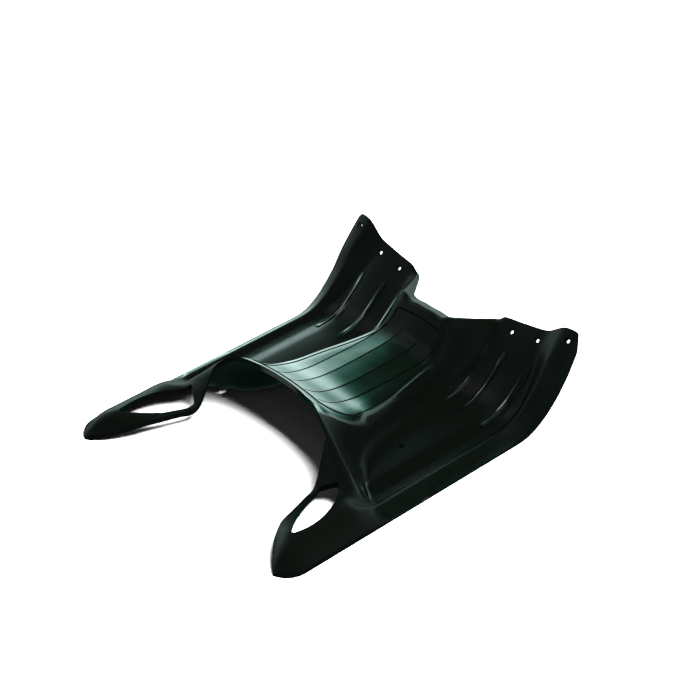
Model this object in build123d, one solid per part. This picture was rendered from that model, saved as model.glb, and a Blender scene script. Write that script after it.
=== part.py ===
# A scooter floorboard: one thin moulded plastic shell with two foot wells either side of a
# raised tunnel, two wings that sweep up at the front and two low tails around a rear cut-out.
# Millimetres. X is across, Y runs forward, Z is up. While it is drawn, Y counts from the tail
# tips; the finished part is moved so that its origin is the middle of its underside.
import os
from math import sqrt

from build123d import *

# Overall sizes
half_width = 219.0
wall = 2.8
lip = 9.0
side_round = 25.0
floor_height = 17.0

# Tails
tail_tip_x = 195.0
tail_corner_mid = (212.5, 13.0)
tail_corner_y = 34.0
tail_crown_x = 178.0
tail_crown_height = 35.0
tail_inner_x = 123.0
tail_inner_height = 25.0
tail_side_height = 8.0
nose_length = 40.0
tip_height = 5.0
nose_lean_inside = 0.7
nose_lean_outside = 1.0
crest_y = 172.0
crest_foot_y = 134.0
crest_round = 8.0
nose_round = 10.0
nose_overrun = 0.5

# Foot wells and outer rim
step_start_x = 152.0
step_end_x = 178.0
step_drop = 5.0
rim_top_x = 198.0

# Rear cut-out: half outline from the tail tip to the middle of the rim
cut_nose = (163.0, 29.0)
cut_bend = (145.0, 58.0)
cut_corner = (112.0, 168.5)
cut_corner_radius = 9.0
rim_mid = (63.0, 182.5)
rim_y = 187.0

# Front edge: middle, notch corner, the wing's inner corner, middle and outer corner
front_y = 478.0
notch_corner = (43.7, 480.5)
wing_inner = (77.4, 527.0)
wing_mid = (150.0, 534.0)
wing_outer_y = 543.0
wing_corner_radius = 5.0

# Front face of the tunnel, a plane that falls forward and rises sideways into the wings
front_face_height = 95.7
front_face_fall = 0.5
front_face_side_rise = 0.624
front_crest_round = 5.0
crown = 6.0

# Lines along the length, each a few (y, value) stations: the floor's rise into the wing, the
# rim's rise over the floor, the x where that rise starts and the drop of the rounded side, then
# the tunnel's top and the half widths at its top edge and its foot
wing_line = [(-20, 0), (400, 0), (430, 2.5), (453, 11), (470, 24), (484, 37)]
wing_line += [(505, 60), (528, 86), (560, 122)]
rim_line = [(-20, 6), (415, 6), (453, 12), (484, 16), (505, 23), (528, 21), (560, 18)]
rim_foot_line = [(-20, 187), (440, 187), (484, 178), (528, 155), (560, 150)]
side_drop_line = [(-20, 13), (450, 13), (500, 9), (535, 5), (560, 5)]
top_line = [(160, 128), (172, 126), (187, 120.6), (203, 105), (218, 91), (240, 76), (257, 70), (274, 65.5)]
top_line += [(300, 63), (340, 62), (390, 63), (410, 64.5), (425, 68), (437, 77), (447, 91), (456, 105)]
top_line += [(560, 260)]
edge_line = [(160, 60), (187, 62), (203, 70), (218, 76), (240, 79), (271, 78), (300, 75), (332, 71)]
edge_line += [(360, 64.5), (387, 58.7), (414, 54), (437, 50), (453, 47), (460, 48.4), (527, 77.4), (560, 91)]
foot_line = [(160, 218), (170, 215), (187, 185), (203, 155), (218, 130), (240, 110), (271, 99), (300, 95)]
foot_line += [(360, 87), (414, 80), (453, 80), (480, 84), (500, 88), (527, 94), (560, 105)]

# Lower edge of the wing's side, from the floor to its front corner
wing_low_edge = [(424, 0), (459, 8), (493, 32), (517, 61), (535, 93), (549, 124)]

# Holes in the tails: rear point, outer side, slanted front end and inner side
hole_rear = (179.0, 44.0)
hole_outer = (178.0, 110.0)
hole_front_outer = (151.0, 154.0)
hole_front_inner = (127.5, 140.0)
hole_inner = (146.0, 88.0)
hole_round = 4.0

# Raised trim: the border around the tunnel's panel, and ribs where the foot wells bend upward
trim_height = 1.6
border_width = 4.5
border_front_y = 453.0
border_rear_y = 196.0
border_corner = 9.0
rib_xs = [122.0, 168.0]
rib_width = 7.0
rib_start_y = 405.0
rib_end_y = 500.0

# Grooves along the tunnel's panel
groove_xs = [18.0, 48.0]
groove_width = 1.8
groove_depth = 1.2
groove_start_y = 206.0
groove_end_y = 432.0

# Screw seats: along each wing's top edge, square to the surface, and in each foot well
wing_screws = [(113.0, 518.5), (157.0, 523.5), (207.0, 529.5)]
floor_screw = (126.0, 292.0)
screw_hole_radius = 3.0
seat_radius = 5.0
seat_depth = 1.6
boss_radius = 7.0

# Allowances while drawing: how far shapes run past the part, and gaps that keep faces apart
overhang = 6.0
past_front = 60.0
ground = -120.0
sky = 200.0
cutter_length = 20.0
side_wall_clearance = 0.4
foot_clearance = 16.0

# Where the form's cross-sections lie: along the length between these marks, and across it at
# the tunnel's edge and foot, where typical values space the points alike in every section
nose_end_y = 44.0
saddle_y = 260.0
wing_start_y = 400.0
wing_bend_y = 484.0
section_marks = [-overhang, nose_end_y, crest_foot_y, crest_y, saddle_y, wing_start_y, wing_bend_y]
section_marks += [wing_outer_y + overhang]
section_splits = [5, 5, 5, 8, 6, 12, 7]
typical_edge_x = 65.0
typical_foot_x = 100.0
outer_marks = [step_start_x, step_end_x, rim_top_x, half_width, half_width + overhang]
point_splits = [3, 5, 2, 3, 4, 4, 1]


def clamp(value, low, high):
    return max(low, min(high, value))


def ease(value, start, end):
    part = clamp((value - start) / (end - start), 0.0, 1.0)
    return part * part * (3.0 - 2.0 * part)


def soft_min(first, second, radius):
    return 0.5 * (first + second - sqrt((first - second) ** 2 + radius**2))


def soft_abs(value, radius):
    return sqrt(value**2 + radius**2) - radius


def along(stations, y):
    # smooth curve through the stations, level where they turn, so it never overshoots
    place = 0
    while place < len(stations) - 2 and y > stations[place + 1][0]:
        place += 1

    def rise(index):
        index = clamp(index, 0, len(stations) - 2)
        return (stations[index + 1][1] - stations[index][1]) / (stations[index + 1][0] - stations[index][0])

    def slope(index):
        before = rise(index - 1)
        after = rise(index)
        if before * after <= 0:
            return 0.0
        return 2.0 * before * after / (before + after)

    start, start_value = stations[place]
    end, end_value = stations[place + 1]
    length = end - start
    part = clamp((y - start) / length, 0.0, 1.0)
    rest = 1.0 - part
    value = (1 + 2 * part) * rest**2 * start_value + (1 + 2 * rest) * part**2 * end_value
    return value + part * rest * length * (rest * slope(place) - part * slope(place + 1))


def pan(across, y):
    # foot well and wing: the floor, the step down to the gutter, the rim and the rounded side
    height = floor_height + along(wing_line, y)
    height -= step_drop * ease(across, step_start_x, step_end_x)
    height += along(rim_line, y) * ease(across, along(rim_foot_line, y), rim_top_x)
    over = max(0.0, across - (half_width - side_round))
    return height - along(side_drop_line, y) * (over / side_round) ** 2


def tunnel_top(across, y):
    edge = along(edge_line, y)
    across = min(across, edge)
    panel = along(top_line, y) - crown * (across / edge) ** 2
    face = front_face_height - front_face_fall * (y - notch_corner[1])
    face += front_face_side_rise * max(0.0, across - notch_corner[0])
    return soft_min(panel, face, front_crest_round)


def front_part(across, y):
    # everything ahead of the crest: the tunnel's sides fall smoothly into the pan
    base = pan(across, y)
    fall = ease(across, along(edge_line, y), along(foot_line, y))
    return base + (tunnel_top(across, y) - base) * (1.0 - fall)


def tail(across, y):
    # a low arch that runs out in a rounded nose
    inward = ease(tail_crown_x - across, 0.0, tail_crown_x - tail_inner_x)
    arch = tail_crown_height - (tail_crown_height - tail_inner_height) * inward
    over = max(0.0, across - tail_crown_x) / (half_width - tail_crown_x)
    arch -= (tail_crown_height - tail_side_height) * over**2
    aside = across - tail_tip_x
    lean = nose_lean_outside if aside > 0 else nose_lean_inside
    back = (y - lean * soft_abs(aside, nose_round)) / nose_length
    if back < 0:
        back = back / sqrt(1.0 + (back / nose_overrun) ** 2)
    return tip_height + (arch - tip_height) * (1.0 - (1.0 - min(back, 1.0)) ** 2)


def skin_height(x, y):
    across = abs(x)
    blend = ease(y, crest_foot_y, crest_y)
    front = front_part(across, -soft_min(-y, -crest_y, crest_round))
    return tail(across, y) * (1.0 - blend) + front * blend


def skin_lean(x, y):
    # slopes of the skin across and along
    reach = 2.0
    lean_x = (skin_height(x + reach, y) - skin_height(x - reach, y)) / (2 * reach)
    lean_y = (skin_height(x, y + reach) - skin_height(x, y - reach)) / (2 * reach)
    return lean_x, lean_y


def spread(marks, counts):
    # places from mark to mark, each stretch split into its count
    places = [marks[0]]
    for start, end, count in zip(marks, marks[1:], counts):
        places += [start + (end - start) * (step + 1) / count for step in range(count)]
    return places


def section(y, depth):
    # closed cross-section of everything below the skin, the skin lowered by depth along its normal
    foot = min(along(foot_line, y), step_start_x - foot_clearance)
    half = spread([0, along(edge_line, y), foot, *outer_marks], point_splits)
    line = []
    for x in [-x for x in reversed(half[1:])] + half:
        lean_x, lean_y = skin_lean(x, y)
        line.append(Vector(x, y, skin_height(x, y) - depth * sqrt(1 + lean_x**2 + lean_y**2)))
    typical = spread([0, typical_edge_x, typical_foot_x, *outer_marks], point_splits)
    shares = [-x for x in reversed(typical[1:])] + typical
    top = Edge.make_spline(line, parameters=shares)
    last = line[-1]
    sides = Polyline(last, (last.X, y, ground), (-last.X, y, ground), line[0])
    return Wire([top, *sides.edges()])


def form(depth):
    return Solid.make_loft([section(y, depth) for y in spread(section_marks, section_splits)])


def lowered(shape, depth):
    return Pos(0, 0, -depth) * shape


def prism(face, low=-1.0):
    return extrude(Pos(0, 0, low) * face, sky - low, dir=(0, 0, 1))


def both_sides(shape):
    return shape + mirror(shape, Plane.YZ)


# Plan outline of the whole part
tip = (tail_tip_x, 0)
tail_corner = ThreePointArc((half_width, tail_corner_y), tail_corner_mid, tip)
cut_nose_edge = ThreePointArc(tip, cut_nose, cut_bend)
cut_side = Line(cut_bend, cut_corner)
rim_edge = ThreePointArc(cut_corner, rim_mid, (0, rim_y))
rear_edges = [tail_corner, cut_nose_edge, cut_side, rim_edge]
front_edges = Polyline((0, rim_y), (0, front_y), notch_corner, wing_inner)
wing_edge = ThreePointArc(wing_inner, wing_mid, (half_width, wing_outer_y))
side_edge = Line((half_width, wing_outer_y), (half_width, tail_corner_y))
outline = both_sides(make_face([*front_edges.edges(), wing_edge, side_edge, *rear_edges]))
wing_corners = outline.vertices().filter_by(lambda v: abs(v.Y - wing_outer_y) < 0.01)
outline = fillet(wing_corners, wing_corner_radius)
cut_corners = outline.vertices().filter_by(lambda v: abs(v.Y - cut_corner[1]) < 0.01)
outline = fillet(cut_corners, cut_corner_radius)

# Holes in the tails
hole_sides = [ThreePointArc(hole_rear, hole_outer, hole_front_outer), Line(hole_front_outer, hole_front_inner)]
hole = make_face([*hole_sides, ThreePointArc(hole_front_inner, hole_inner, hole_rear)])
hole = fillet(hole.vertices(), hole_round)
outline -= both_sides(hole)


def panel(inset):
    # plan of the tunnel's panel, drawn in from its edge
    rear = border_rear_y + inset
    front = border_front_y - inset
    side = Spline(*[(along(edge_line, y) - inset, y) for y in spread([rear, front], [6])])
    half = make_face([side, *Polyline(side @ 1, (0, front), (0, rear), side @ 0).edges()])
    whole = both_sides(half)
    return fillet(whole.vertices().group_by(Axis.Y)[-1], border_corner - inset)


# Raised border around the tunnel's panel, and ribs up the bend of each foot well
border = panel(0.0) - panel(border_width)


def strips(xs, start, end, width):
    strip = SlotOverall(end - start, width, 90)
    return Sketch() + [Pos(side * x, (start + end) / 2) * strip for x in xs for side in (-1, 1)]


ribs = strips(rib_xs, rib_start_y, rib_end_y, rib_width)
grooves = strips(groove_xs, groove_start_y, groove_end_y, groove_width)

# Outer form of the skin with its raised trim and its grooves
outer = form(0.0)
raised = form(-trim_height)
dressed = outer + (raised & prism(border, 0.0))
dressed += raised & prism(ribs, 0.0)
dressed -= prism(grooves) - lowered(outer, groove_depth)

# Shell with a wall along every edge, cut back to a short lip everywhere but along the sides
shell = dressed & prism(outline, 0.0)
screw_spots = wing_screws + [floor_screw]
bosses = both_sides(Sketch() + [Pos(x, y) * Circle(boss_radius) for x, y in screw_spots])
hollow = form(wall) & prism(offset(outline, -wall) - bosses)
shell -= hollow
far_y = wing_outer_y + past_front
around = Polyline(tip, (0, 0), (0, far_y), (half_width, far_y), (half_width, tail_corner_y))
inside = offset(both_sides(make_face([tail_corner, *around.edges()])), -(wall + side_wall_clearance))
shell -= lowered(outer, lip) & prism(inside, -overhang)

# Underside of the wings
low_start = wing_low_edge[0]
low_end = wing_low_edge[-1]
low_front = [(far_y, low_end[1]), (far_y, -overhang), (low_start[0], -overhang)]
below_wing = make_face([Spline(*wing_low_edge), *Polyline(low_end, *low_front, low_start).edges()])
shell -= extrude(Plane.YZ * below_wing, half_width + overhang, both=True)


def screw_seat(spot, square):
    # place for one screw: its plane lies on the skin, square to it if asked, otherwise level
    x, y = spot
    lean = skin_lean(x, y)[1] if square else 0.0
    return Plane((x, y, skin_height(x, y)), x_dir=(1, 0, 0), z_dir=(0, -lean, 1))


seats = [screw_seat(spot, True) for spot in wing_screws] + [screw_seat(floor_screw, False)]
top = (Align.CENTER, Align.CENTER, Align.MIN)
for seat in seats:
    shell -= both_sides(seat * Pos(0, 0, -seat_depth) * Cylinder(seat_radius, cutter_length, align=top))
    shell -= both_sides(seat * Cylinder(screw_hole_radius, 2 * cutter_length))

# The origin is the middle of the underside
floorboard = Pos(0, -shell.bounding_box().center().Y, 0) * shell
os.makedirs("parts", exist_ok=True)
export_step(floorboard, "parts/floorboard.step")
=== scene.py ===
# Looks for the scooter floorboard: moulded black plastic on a plain pale floor.
import math

import bpy
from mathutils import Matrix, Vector


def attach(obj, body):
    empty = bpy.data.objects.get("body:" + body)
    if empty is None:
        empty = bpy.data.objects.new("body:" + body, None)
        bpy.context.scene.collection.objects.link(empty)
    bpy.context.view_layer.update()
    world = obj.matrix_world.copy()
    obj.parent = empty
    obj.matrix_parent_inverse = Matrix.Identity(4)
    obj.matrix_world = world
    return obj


bl_info = {
    "name": "Scooter floorboard",
    "version": (1, 0, 0),
    "blender": (4, 5, 0),
    "location": "3D View > Sidebar > Floorboard",
    "description": "Dresses the floorboard in moulded black plastic and sets up its studio",
    "category": "Object",
}

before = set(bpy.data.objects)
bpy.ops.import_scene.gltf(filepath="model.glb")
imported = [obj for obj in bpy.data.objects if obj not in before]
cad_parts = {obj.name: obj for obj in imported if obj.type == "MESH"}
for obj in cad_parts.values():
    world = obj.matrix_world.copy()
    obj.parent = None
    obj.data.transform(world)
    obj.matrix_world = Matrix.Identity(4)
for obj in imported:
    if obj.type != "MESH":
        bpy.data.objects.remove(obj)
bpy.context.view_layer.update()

# Lengths are in metres. A pair is the start and the end of a blend unless its comment says otherwise.

# Polished panel on the tunnel: its half width at the rear and the front, each as (y, x), the width of the
# blend at its sides, and the bend at its front where the polish ends
PANEL_REAR = (0.0, 0.082)
PANEL_FRONT = (0.182, 0.052)
PANEL_BLEND = 0.008
PANEL_BEND = (0.125, 0.155)

# Steep rear of the panel: the blends where its softened shading opens and closes, and how strong it is
PANEL_LIFT = ((-0.088, -0.080), (-0.040, 0.0))
LIFT = 2.2

# Step beside the gutter: its edge and its foot, where the wings end it, and its shine against the panel's
STEP_EDGE = (0.150, 0.157)
STEP_FOOT = (0.174, 0.181)
WING_START = (0.165, 0.200)
BAND_SHINE = 0.05

# Rim: the inner side of its top, and where its polish comes in from the wings
RIM_EDGE = (0.196, 0.203)
RIM_FADE = (0.200, 0.060)

# Where the polish starts after the tails, and how far up a face has to look to be polished
TAIL_END = (-0.115, -0.085)
UPWARD = (-0.1, 0.1)

# Painted shade on and beside the panel's grooves, where their shine is taken away: their places across, then
# the blends at side, rear and front
GROOVE_PLACES = (0.018, 0.048)
GROOVE_SIDE = (0.0024, 0.0010)
GROOVE_REAR = (-0.070, -0.060)
GROOVE_FRONT = (0.156, 0.166)

# Soft ribs up the bend of each foot well: the place across of the inner one, which is built here, and of the
# two in the solid, then half width, height, the blends at rear and front, and the rise that turns polished
INNER_RIB = 0.090
SOLID_RIBS = (0.122, 0.166)
RIB_HALF_WIDTH = 0.005
RIB_HEIGHT = 0.001
RIB_REAR = (0.130, 0.155)
RIB_FRONT = (0.195, 0.235)
RIB_POLISH = (0.0, 0.4)

# The inner rib's mesh: rows along and columns across it, how far its edge lies under the skin and its foot
# inside the wall, and the height from which the skin is felt for
RIB_ROWS = 96
RIB_COLUMNS = 16
RIB_EDGE_DEPTH = 0.0002
RIB_FOOT_DEPTH = 0.0012
FEELER_HEIGHT = 0.5

# Plastic: colour, index of refraction and the usual strength of its reflection
PLASTIC_COLOUR = "#030403"
PLASTIC_IOR = 1.5
FULL_SHINE = 0.5
# Broad unevenness of the polish: cells per metre, detail, and roughness below and above the setting
BROAD_SCALE = 18.0
BROAD_DETAIL = 4.0
GLOSS_SPREAD = (-0.04, 0.06)
# Moulded grain: cells per metre, detail, height, and strength on dull and on polished faces
GRAIN_SCALE = 900.0
GRAIN_DETAIL = 3.0
GRAIN_HEIGHT = 0.0002
GRAIN_STRENGTH = (0.25, 0.02)

# Colours of the studio wall by the sine of the height angle
WALL_BANDS = [
    (0.0, "#E2FFFA"),
    (0.34, "#DAFFF8"),
    (0.39, "#C4EDE6"),
    (0.455, "#7DB0A1"),
    (0.52, "#3C786A"),
    (0.58, "#18493B"),
    (0.64, "#032016"),
    (0.84, "#03170F"),
    (0.95, "#6A8A80"),
]
# Level direction of the bright wall, ahead of the board and to its left, the cosines over which the wall
# brightens towards it, and the wall's strength elsewhere and there
WALL_WAY = (-0.7071, 0.7071, 0.0)
WALL_SIDE = (0.05, 0.55)
WALL_STRENGTH = (1.6, 5.8)

# Long lamp high on the left and in line with the board, by the X, Y and Z of the direction to it: the blends
# at its left, right, rear and front, and above the horizon
LAMP_LEFT = (-0.70, -0.62)
LAMP_RIGHT = (-0.54, -0.46)
LAMP_REAR = (-0.48, -0.32)
LAMP_FRONT = (-0.06, 0.10)
LAMP_ABOVE = (0.0, 0.1)
LAMP_COLOUR = "#FFFFFA"
LAMP_STRENGTH = 9.0

# Even light on dull faces, and the white that the camera sees behind the floor
WHITE = "#FFFFFF"
FILL_STRENGTH = 0.06
BACKDROP_STRENGTH = 1.0

# Floor: its paper, and what the plastic mirrors of it, by the distance towards the bright wall
PAPER_COLOUR = "#FAFAF8"
FLOOR_GLOW = (-0.05, 0.35)
FLOOR_TINTS = ("#0B5443", "#C8F0E6")
FLOOR_STRENGTH = 1.4

# Soft light overhead and to the right: its place and its width
KEY_PLACE = (1.5, 0.0, 3.0)
KEY_SIZE = 1.4

# Camera at the photo's angle: its place, the angles in degrees that it looks round and down by, then lens
# and sensor in millimetres and the farthest distance it shows
CAMERA_PLACE = (1.7587, -1.6071, 1.7812)
CAMERA_AZIMUTH = 46.98
CAMERA_ELEVATION = 34.59
CAMERA_LENS = 111.56
SENSOR_WIDTH = 36.0
CLIP_END = 60.0


class FloorboardSettings(bpy.types.PropertyGroup):
    gloss_roughness: bpy.props.FloatProperty(
        name="Gloss roughness",
        description="Roughness of the polished faces of the moulding",
        default=0.12,
        min=0.0,
        max=1.0,
        subtype="FACTOR",
    )
    grain_roughness: bpy.props.FloatProperty(
        name="Grain roughness",
        description="Roughness of the grained faces, such as the foot wells",
        default=0.40,
        min=0.0,
        max=1.0,
        subtype="FACTOR",
    )
    grain_shine: bpy.props.FloatProperty(
        name="Grain shine",
        description="Strength of the reflection on the grained faces, such as the foot wells",
        default=0.038,
        min=0.0,
        max=1.0,
        subtype="FACTOR",
    )


class StudioSettings(bpy.types.PropertyGroup):
    floor_size: bpy.props.FloatProperty(
        name="Floor size",
        description="Width of the square floor",
        default=24.0,
        min=2.0,
        unit="LENGTH",
    )
    key_power: bpy.props.FloatProperty(
        name="Key power",
        description="Power of the soft light overhead",
        default=520.0,
        min=0.0,
        unit="POWER",
    )


def to_linear(code):
    """Linear red, green and blue of an sRGB hex colour, with full alpha."""
    parts = [int(code[place : place + 2], 16) / 255 for place in (1, 3, 5)]
    return [part / 12.92 if part <= 0.04045 else ((part + 0.055) / 1.055) ** 2.4 for part in parts] + [1.0]


def add_node(tree, kind, values=None, **settings):
    """A new node, with its settings, and its inputs set from values or linked to the sockets given."""
    node = tree.nodes.new(kind)
    for name, value in settings.items():
        setattr(node, name, value)
    for socket, value in (values or {}).items():
        if isinstance(value, bpy.types.NodeSocket):
            tree.links.new(value, node.inputs[socket])
        else:
            node.inputs[socket].default_value = value
    return node


def calculate(tree, operation, first, second=0.0):
    """Socket with the result of one sum on two sockets or numbers."""
    return add_node(tree, "ShaderNodeMath", {0: first, 1: second}, operation=operation).outputs["Value"]


def smooth_step(tree, value, start, end):
    """Socket that eases from 0 at start to 1 at end."""
    values = {"Value": value, "From Min": start, "From Max": end}
    return add_node(tree, "ShaderNodeMapRange", values, interpolation_type="SMOOTHSTEP").outputs["Result"]


def between(tree, value, opening, closing):
    """Socket that eases up over the opening blend and down again over the closing one."""
    opened = smooth_step(tree, value, *opening)
    return calculate(tree, "SUBTRACT", opened, smooth_step(tree, value, *closing))


def join_vectors(tree, operation, first, second):
    """Node that works on two vectors."""
    return add_node(tree, "ShaderNodeVectorMath", {0: first, 1: second}, operation=operation)


def mix_values(tree, share, first, second):
    """Socket that runs from the first value to the second as the share goes from 0 to 1."""
    values = {"Value": share, "To Min": first, "To Max": second}
    return add_node(tree, "ShaderNodeMapRange", values).outputs["Result"]


def mix_shaders(tree, share, first, second):
    """Socket with the first shader where the share is 0 and the second where it is 1."""
    return add_node(tree, "ShaderNodeMixShader", {0: share, 1: first, 2: second}).outputs["Shader"]


def background(tree, colour, strength):
    """Socket with an even light from all around."""
    values = {"Color": colour, "Strength": strength}
    return add_node(tree, "ShaderNodeBackground", values).outputs["Background"]


def new_tree(owner):
    """Emptied node tree of a material or a world."""
    owner.use_nodes = True
    owner.node_tree.nodes.clear()
    return owner.node_tree


def panel_share(tree, across, along):
    """Socket that is 1 on the tunnel's panel, which narrows forward, up to the bend at its front."""
    values = {
        "Value": along,
        "From Min": PANEL_REAR[0],
        "From Max": PANEL_FRONT[0],
        "To Min": PANEL_REAR[1],
        "To Max": PANEL_FRONT[1],
    }
    edge = add_node(tree, "ShaderNodeMapRange", values).outputs["Result"]
    past_edge = smooth_step(tree, calculate(tree, "SUBTRACT", across, edge), 0.0, PANEL_BLEND)
    past_bend = smooth_step(tree, along, *PANEL_BEND)
    return calculate(tree, "SUBTRACT", 1.0, calculate(tree, "MAXIMUM", past_edge, past_bend))


def lines_share(tree, across, places, side):
    """Socket that is 1 along lines at these places across, and eases off over the blend at their sides."""
    share = 0.0
    for place in places:
        aside = calculate(tree, "ABSOLUTE", calculate(tree, "SUBTRACT", across, place))
        share = calculate(tree, "MAXIMUM", share, smooth_step(tree, aside, *side))
    return share


def rib_share(tree, across, along, places):
    """Socket that rises to 1 along the middle of the soft ribs at these places."""
    share = lines_share(tree, across, places, (RIB_HALF_WIDTH, 0.0))
    return calculate(tree, "MULTIPLY", share, between(tree, along, RIB_REAR, RIB_FRONT))


def painted_groove_shade(tree, across, along):
    """Socket that is 1 along the grooves of the panel and eases off beside them: the painted shade of the
    grooves.
    """
    share = lines_share(tree, across, GROOVE_PLACES, GROOVE_SIDE)
    return calculate(tree, "MULTIPLY", share, between(tree, along, GROOVE_REAR, GROOVE_FRONT))


def polished_shares(tree, across, along, upward):
    """Two sockets, 1 on the polished panel and rims: how smooth a face is, and how strongly it shines."""
    on_floor = calculate(tree, "SUBTRACT", 1.0, smooth_step(tree, along, *WING_START))
    band = calculate(tree, "MULTIPLY", between(tree, across, STEP_EDGE, STEP_FOOT), on_floor)
    rim = smooth_step(tree, across, *RIM_EDGE)
    rim = calculate(tree, "MULTIPLY", rim, smooth_step(tree, along, *RIM_FADE))
    bright = calculate(tree, "MAXIMUM", panel_share(tree, across, along), rim)
    on_top = smooth_step(tree, along, *TAIL_END)
    on_top = calculate(tree, "MULTIPLY", on_top, smooth_step(tree, upward, *UPWARD))
    shares = []
    for strength in (1.0, BAND_SHINE):
        share = calculate(tree, "MAXIMUM", bright, calculate(tree, "MULTIPLY", band, strength))
        shares.append(calculate(tree, "MULTIPLY", share, on_top))
    return shares


def lifted_normal(tree, normal, share):
    """Socket with the normal turned part of the way up, which softens the fall of the panel's rear."""
    values = {0: (0.0, 0.0, LIFT), "Scale": share}
    up = add_node(tree, "ShaderNodeVectorMath", values, operation="SCALE").outputs["Vector"]
    both = join_vectors(tree, "ADD", normal, up).outputs["Vector"]
    return add_node(tree, "ShaderNodeVectorMath", {0: both}, operation="NORMALIZE").outputs["Vector"]


def plastic(settings):
    # Black injection-moulded plastic: a polished tool leaves the tunnel's panel, the rims and the ribs
    # glossy, so the eye reads them by what they mirror; the grained faces scatter light and stay dull black.
    material = bpy.data.materials.new("black_moulded_plastic")
    tree = new_tree(material)
    geometry = add_node(tree, "ShaderNodeNewGeometry")
    place = geometry.outputs["Position"]
    spot = add_node(tree, "ShaderNodeSeparateXYZ", {"Vector": place})
    across = calculate(tree, "ABSOLUTE", spot.outputs["X"])
    along = spot.outputs["Y"]
    facing = add_node(tree, "ShaderNodeSeparateXYZ", {"Vector": geometry.outputs["Normal"]})
    smooth, shine = polished_shares(tree, across, along, facing.outputs["Z"])

    # the ribs shine as the panel does; the grooves and a strip beside each get no shine, a painted shade that
    # darkens them
    any_rib = rib_share(tree, across, along, (INNER_RIB, *SOLID_RIBS))
    rib_polish = smooth_step(tree, any_rib, *RIB_POLISH)
    smooth = calculate(tree, "MAXIMUM", smooth, rib_polish)
    shine = calculate(tree, "MAXIMUM", shine, rib_polish)
    # painted shade: the shine is taken away on and beside the grooves
    clear_of_painted_groove_shade = calculate(tree, "SUBTRACT", 1.0, painted_groove_shade(tree, across, along))
    shine = calculate(tree, "MULTIPLY", shine, clear_of_painted_groove_shade)

    broad = {"Vector": place, "Scale": BROAD_SCALE, "Detail": BROAD_DETAIL}
    uneven = add_node(tree, "ShaderNodeTexNoise", broad).outputs["Fac"]
    gloss = mix_values(tree, uneven, *[settings.gloss_roughness + spread for spread in GLOSS_SPREAD])
    rough = mix_values(tree, smooth, settings.grain_roughness, gloss)
    level = mix_values(tree, shine, settings.grain_shine, FULL_SHINE)

    # the normal: softened at the panel's rear, rounded over the ribs of the solid, and grained
    steep = calculate(tree, "MULTIPLY", shine, between(tree, along, *PANEL_LIFT))
    lifted = lifted_normal(tree, geometry.outputs["Normal"], steep)
    rib = rib_share(tree, across, along, SOLID_RIBS)
    values = {"Height": rib, "Strength": 1.0, "Distance": RIB_HEIGHT, "Normal": lifted}
    rounded = add_node(tree, "ShaderNodeBump", values).outputs["Normal"]
    fine = {"Vector": place, "Scale": GRAIN_SCALE, "Detail": GRAIN_DETAIL}
    grain = add_node(tree, "ShaderNodeTexNoise", fine).outputs["Fac"]
    depth = mix_values(tree, smooth, *GRAIN_STRENGTH)
    values = {"Height": grain, "Strength": depth, "Distance": GRAIN_HEIGHT, "Normal": rounded}
    grained = add_node(tree, "ShaderNodeBump", values).outputs["Normal"]

    values = {
        "Base Color": to_linear(PLASTIC_COLOUR),
        "Roughness": rough,
        "Specular IOR Level": level,
        "IOR": PLASTIC_IOR,
        "Normal": grained,
    }
    shader = add_node(tree, "ShaderNodeBsdfPrincipled", values)
    add_node(tree, "ShaderNodeOutputMaterial", {"Surface": shader.outputs["BSDF"]})
    return material


def ease(value, start, end):
    """Number that eases from 0 at start to 1 at end."""
    share = min(max((value - start) / (end - start), 0.0), 1.0)
    return share * share * (3.0 - 2.0 * share)


def skin_grid(board, side):
    """Rows of points on the board's skin under the inner rib of one side."""
    rows = []
    for row in range(RIB_ROWS + 1):
        along = RIB_REAR[0] + (RIB_FRONT[1] - RIB_REAR[0]) * row / RIB_ROWS
        points = []
        for column in range(RIB_COLUMNS + 1):
            across = side * (INNER_RIB + RIB_HALF_WIDTH * (2.0 * column / RIB_COLUMNS - 1.0))
            found, point, _, _ = board.ray_cast((across, along, FEELER_HEIGHT), (0.0, 0.0, -1.0))
            if not found:
                raise RuntimeError("the skin has a hole where the inner rib goes")
            points.append(point)
        rows.append(points)
    return rows


def skin_facing(rows, row, column, side):
    """Direction that the skin faces at one point of the grid."""
    behind = rows[max(row - 1, 0)][column]
    ahead = rows[min(row + 1, RIB_ROWS)][column]
    inside = rows[row][max(column - 1, 0)]
    outside = rows[row][min(column + 1, RIB_COLUMNS)]
    return side * (outside - inside).cross(ahead - behind).normalized()


def rib_faces(count):
    """Faces of a closed strip: a grid of that many points, the same grid under it, and the edge between."""
    width = RIB_COLUMNS + 1
    faces = []
    for row in range(RIB_ROWS):
        for column in range(RIB_COLUMNS):
            corner = row * width + column
            face = (corner, corner + 1, corner + width + 1, corner + width)
            faces.append(face)
            faces.append(tuple(count + place for place in reversed(face)))
    edge = list(range(RIB_COLUMNS))
    edge += [row * width + RIB_COLUMNS for row in range(RIB_ROWS)]
    edge += [RIB_ROWS * width + column for column in range(RIB_COLUMNS, 0, -1)]
    edge += [row * width for row in range(RIB_ROWS, 0, -1)]
    for place, following in zip(edge, edge[1:] + edge[:1]):
        faces.append((following, place, count + place, count + following))
    return faces


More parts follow.
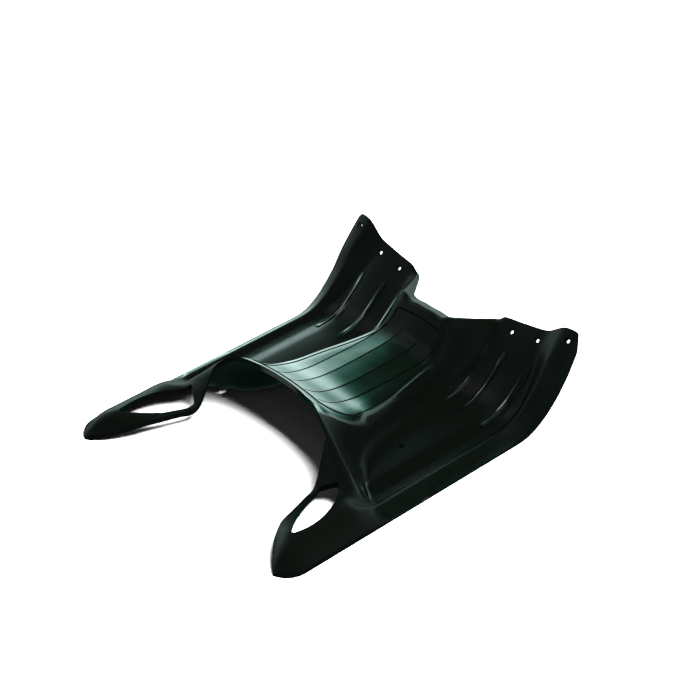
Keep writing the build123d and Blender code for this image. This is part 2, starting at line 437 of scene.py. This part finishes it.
def inner_rib(board, name, side):
    """Soft rib that follows the skin and fades into it at both ends."""
    rows = skin_grid(board, side)
    top = []
    foot = []
    for row, points in enumerate(rows):
        along = points[0].y
        length_share = ease(along, *RIB_REAR) - ease(along, *RIB_FRONT)
        for column, point in enumerate(points):
            facing = skin_facing(rows, row, column, side)
            aside = abs(2.0 * column / RIB_COLUMNS - 1.0)
            rise = RIB_HEIGHT * length_share * ease(aside, 1.0, 0.0)
            top.append(point + facing * (rise - RIB_EDGE_DEPTH))
            foot.append(point - facing * RIB_FOOT_DEPTH)
    faces = rib_faces(len(top))
    if side < 0:
        faces = [tuple(reversed(face)) for face in faces]
    mesh = bpy.data.meshes.new(name)
    mesh.from_pydata(top + foot, [], faces)
    mesh.shade_smooth()
    rib = bpy.data.objects.new(name, mesh)
    bpy.context.scene.collection.objects.link(rib)
    return rib


class FLOORBOARD_OT_dress(bpy.types.Operator):
    """Gives the moulded floorboard its plastic and the inner rib of each foot well"""

    bl_idname = "floorboard.dress"
    bl_label = "Dress floorboard"

    def execute(self, context):
        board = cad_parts.get("floorboard")
        if board is None:
            raise RuntimeError("the frame has no floorboard")
        material = plastic(context.scene.floorboard)
        board.data.materials.clear()
        board.data.materials.append(material)
        for name, side in (("inner_rib_right", 1.0), ("inner_rib_left", -1.0)):
            rib = inner_rib(board, name, side)
            rib.data.materials.append(material)
            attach(rib, "root")
        return {"FINISHED"}


def lamp_share(tree, way):
    """Socket that is 1 in the directions of the long lamp."""
    width = between(tree, way["X"], LAMP_LEFT, LAMP_RIGHT)
    length = between(tree, way["Y"], LAMP_REAR, LAMP_FRONT)
    share = calculate(tree, "MULTIPLY", width, length)
    return calculate(tree, "MULTIPLY", share, smooth_step(tree, way["Z"], *LAMP_ABOVE))


def studio_world(scene):
    """Room that the plastic mirrors: a pale wall low on the far left, dark teal above it, and a long lamp."""
    world = bpy.data.worlds.new("studio")
    scene.world = world
    tree = new_tree(world)
    ray = add_node(tree, "ShaderNodeLightPath")
    way = add_node(tree, "ShaderNodeTexCoord").outputs["Generated"]
    parts = add_node(tree, "ShaderNodeSeparateXYZ", {"Vector": way}).outputs
    ramp = add_node(tree, "ShaderNodeValToRGB", {"Fac": parts["Z"]})
    stops = ramp.color_ramp.elements
    stops[0].position = WALL_BANDS[0][0]
    stops[-1].position = WALL_BANDS[-1][0]
    for height, _ in WALL_BANDS[1:-1]:
        stops.new(height)
    for stop, (_, code) in zip(stops, WALL_BANDS):
        stop.color = to_linear(code)
    towards = join_vectors(tree, "DOT_PRODUCT", way, WALL_WAY).outputs["Value"]
    side = mix_values(tree, smooth_step(tree, towards, *WALL_SIDE), *WALL_STRENGTH)
    room = background(tree, ramp.outputs["Color"], side)
    glow = calculate(tree, "MULTIPLY", lamp_share(tree, parts), LAMP_STRENGTH)
    lamp = background(tree, to_linear(LAMP_COLOUR), glow)
    mirrored = add_node(tree, "ShaderNodeAddShader", {0: room, 1: lamp}).outputs["Shader"]
    fill = background(tree, to_linear(WHITE), FILL_STRENGTH)
    backdrop = background(tree, to_linear(WHITE), BACKDROP_STRENGTH)
    lit = mix_shaders(tree, ray.outputs["Is Glossy Ray"], fill, mirrored)
    seen = mix_shaders(tree, ray.outputs["Is Camera Ray"], lit, backdrop)
    add_node(tree, "ShaderNodeOutputWorld", {"Surface": seen})


def paper():
    # White paper: even and matt to the eye. The plastic mirrors it as dim teal that pales towards the wall.
    material = bpy.data.materials.new("white_paper")
    tree = new_tree(material)
    white = add_node(tree, "ShaderNodeBsdfDiffuse", {"Color": to_linear(PAPER_COLOUR)})
    place = add_node(tree, "ShaderNodeNewGeometry").outputs["Position"]
    towards = join_vectors(tree, "DOT_PRODUCT", place, WALL_WAY).outputs["Value"]
    tint = add_node(tree, "ShaderNodeValToRGB", {"Fac": smooth_step(tree, towards, *FLOOR_GLOW)})
    for stop, code in zip(tint.color_ramp.elements, FLOOR_TINTS):
        stop.color = to_linear(code)
    values = {"Color": tint.outputs["Color"], "Strength": FLOOR_STRENGTH}
    dim = add_node(tree, "ShaderNodeEmission", values)
    ray = add_node(tree, "ShaderNodeLightPath")
    seen = mix_shaders(tree, ray.outputs["Is Glossy Ray"], white.outputs["BSDF"], dim.outputs["Emission"])
    add_node(tree, "ShaderNodeOutputMaterial", {"Surface": seen})
    return material


def studio_floor(settings):
    """Square of paper under the board."""
    half = settings.floor_size / 2
    corners = [(-half, -half, 0), (half, -half, 0), (half, half, 0), (-half, half, 0)]
    mesh = bpy.data.meshes.new("floor")
    mesh.from_pydata(corners, [], [(0, 1, 2, 3)])
    mesh.materials.append(paper())
    floor = bpy.data.objects.new("floor", mesh)
    bpy.context.scene.collection.objects.link(floor)


def soft_light(scene, power):
    """Wide light that looks at the board and isn't mirrored in it."""
    light = bpy.data.lights.new("overhead", "AREA")
    light.size = KEY_SIZE
    light.energy = power
    lamp = bpy.data.objects.new("overhead", light)
    lamp.location = KEY_PLACE
    lamp.rotation_euler = (-Vector(KEY_PLACE)).to_track_quat("-Z", "Y").to_euler()
    lamp.visible_glossy = False
    scene.collection.objects.link(lamp)


def photo_camera(scene):
    """Camera behind and to the right of the board, looking down on it."""
    azimuth = math.radians(CAMERA_AZIMUTH)
    elevation = math.radians(CAMERA_ELEVATION)
    level = math.cos(elevation)
    ahead = Vector((-math.sin(azimuth) * level, math.cos(azimuth) * level, -math.sin(elevation)))
    camera = bpy.data.cameras.new("camera")
    camera.lens = CAMERA_LENS
    camera.sensor_width = SENSOR_WIDTH
    camera.clip_end = CLIP_END
    stand = bpy.data.objects.new("camera", camera)
    stand.location = CAMERA_PLACE
    stand.rotation_euler = ahead.to_track_quat("-Z", "Y").to_euler()
    scene.collection.objects.link(stand)
    scene.camera = stand


class FLOORBOARD_OT_studio(bpy.types.Operator):
    """Sets up the floor, the light and the camera"""

    bl_idname = "floorboard.studio"
    bl_label = "Set up studio"

    def execute(self, context):
        scene = context.scene
        settings = scene.floorboard_studio
        studio_world(scene)
        studio_floor(settings)
        soft_light(scene, settings.key_power)
        photo_camera(scene)
        scene.view_settings.view_transform = "Standard"
        return {"FINISHED"}


class FLOORBOARD_PT_panel(bpy.types.Panel):
    bl_label = "Floorboard"
    bl_idname = "FLOORBOARD_PT_panel"
    bl_space_type = "VIEW_3D"
    bl_region_type = "UI"
    bl_category = "Floorboard"

    def draw(self, context):
        layout = self.layout
        scene = context.scene
        layout.prop(scene.floorboard, "gloss_roughness")
        layout.prop(scene.floorboard, "grain_roughness")
        layout.prop(scene.floorboard, "grain_shine")
        layout.operator("floorboard.dress")
        layout.prop(scene.floorboard_studio, "floor_size")
        layout.prop(scene.floorboard_studio, "key_power")
        layout.operator("floorboard.studio")


CLASSES = (
    FloorboardSettings,
    StudioSettings,
    FLOORBOARD_OT_dress,
    FLOORBOARD_OT_studio,
    FLOORBOARD_PT_panel,
)


def register():
    for kind in CLASSES:
        bpy.utils.register_class(kind)
    bpy.types.Scene.floorboard = bpy.props.PointerProperty(type=FloorboardSettings)
    bpy.types.Scene.floorboard_studio = bpy.props.PointerProperty(type=StudioSettings)


def unregister():
    del bpy.types.Scene.floorboard_studio
    del bpy.types.Scene.floorboard
    for kind in reversed(CLASSES):
        bpy.utils.unregister_class(kind)


def main():
    register()
    bpy.ops.floorboard.dress()
    bpy.ops.floorboard.studio()


if __name__ == "__main__":
    main()
